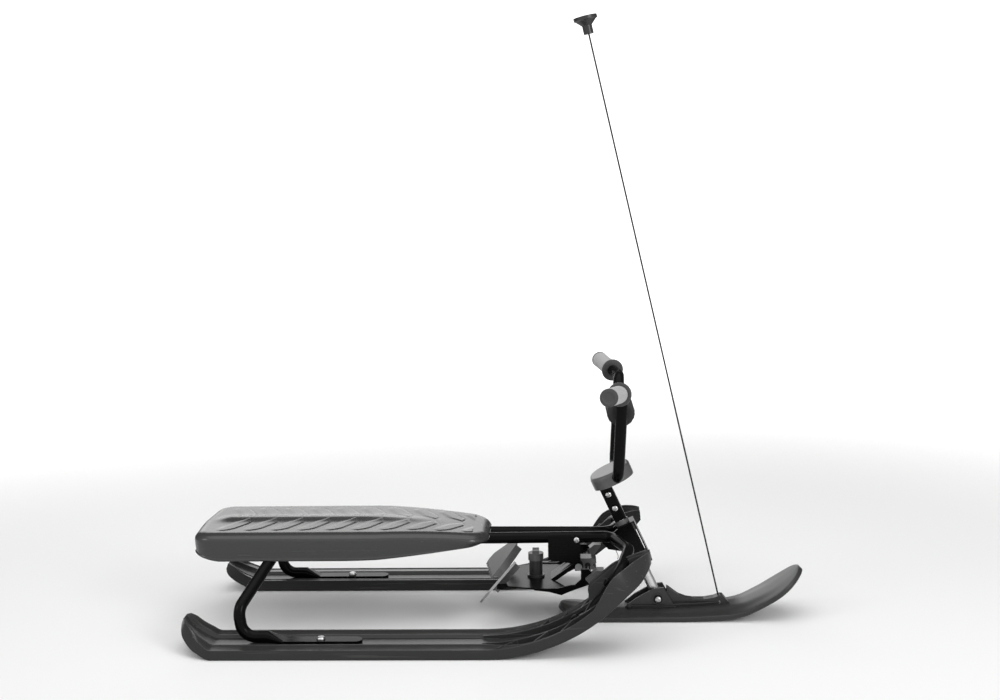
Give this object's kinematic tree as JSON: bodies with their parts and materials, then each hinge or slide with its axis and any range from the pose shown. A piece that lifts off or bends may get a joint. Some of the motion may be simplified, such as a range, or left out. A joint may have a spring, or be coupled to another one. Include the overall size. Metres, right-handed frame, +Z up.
{
  "type": "steerable sled",
  "caption": "Steerable snow sled: raked handlebar column over a pitching front ski, fixed rear skis on a bent tube frame, moulded seat, toothed foot brake and a tow cord with a handle.",
  "frame": {"origin": "on the floor, midway along the length and the width of the sled without its tow cord", "axes": "+X forward, towards the front ski's tip; +Y to the sled's left; +Z up"},
  "size_m": [1.18, 0.52, 1.1621],
  "materials": {
    "ski": "satin, slightly scuffed",
    "blade": "glossy deck, satin edges",
    "seat": "satin moulded",
    "light_plastic": "satin moulded",
    "frame_paint": "gloss black",
    "steel": "bright zinc",
    "grip_rubber": "matt, fine grid",
    "foam": "matt cover",
    "cord": "woven",
    "black_plastic": "satin"
  },
  "bodies": {
    "frame": {"rear_ski_right": "ski", "rear_ski_left": "ski", "frame_tube_right": "frame_paint", "frame_tube_left": "frame_paint", "heel_bolt_right": "steel", "heel_bolt_left": "steel", "toe_bolt_right": "steel", "toe_bolt_left": "steel", "nose_bolt_right": "steel", "nose_bolt_left": "steel", "seat": "seat", "seat_rails": "frame_paint", "seat_front_plate": "frame_paint", "head_bracket": "frame_paint", "lower_bush": "light_plastic", "upper_bush": "light_plastic", "brake_bracket": "frame_paint", "brake_pin": "steel"},
    "steering": {"column": "frame_paint", "shaft": "steel", "column_cap": "light_plastic", "handlebar": "frame_paint", "crossbar": "frame_paint", "crossbar_pad": "foam", "column_bolt_low": "steel", "column_bolt_high": "steel", "grip_right": "grip_rubber", "grip_left": "grip_rubber"},
    "front_runner": {"front_ski": "blade", "saddle": "black_plastic", "ski_pin": "steel", "nose_fitting": "black_plastic", "cord_upper": "cord", "cord_lower": "cord", "cord_knot": "cord", "tow_handle": "black_plastic"},
    "brake": {"brake_frame": "frame_paint", "brake_block": "light_plastic", "brake_claw_right": "steel", "brake_claw_left": "steel", "brake_pedal_right": "light_plastic", "brake_pedal_left": "light_plastic", "spring_post": "black_plastic", "spring_cap": "light_plastic"}
  },
  "joints": [
    {"name": "steering_turn", "type": "hinge", "parent": "frame", "child": "steering", "pos_m": [0.25705, 0, 0.14561], "axis": [-0.4163, 0, 0.9092], "range_deg": [-30, 30]},
    {"name": "front_ski_pitch", "type": "hinge", "parent": "steering", "child": "front_runner", "pos_m": [0.307, 0, 0.0365], "axis": [0, 1, 0], "range_deg": [-8, 8]},
    {"name": "brake_press", "type": "hinge", "parent": "frame", "child": "brake", "pos_m": [0.152, 0, 0.106], "axis": [0, -1, 0], "range_deg": [0, 12], "stiffness_Nm_per_rad": 3, "springref_deg": -28.65}
  ]
}
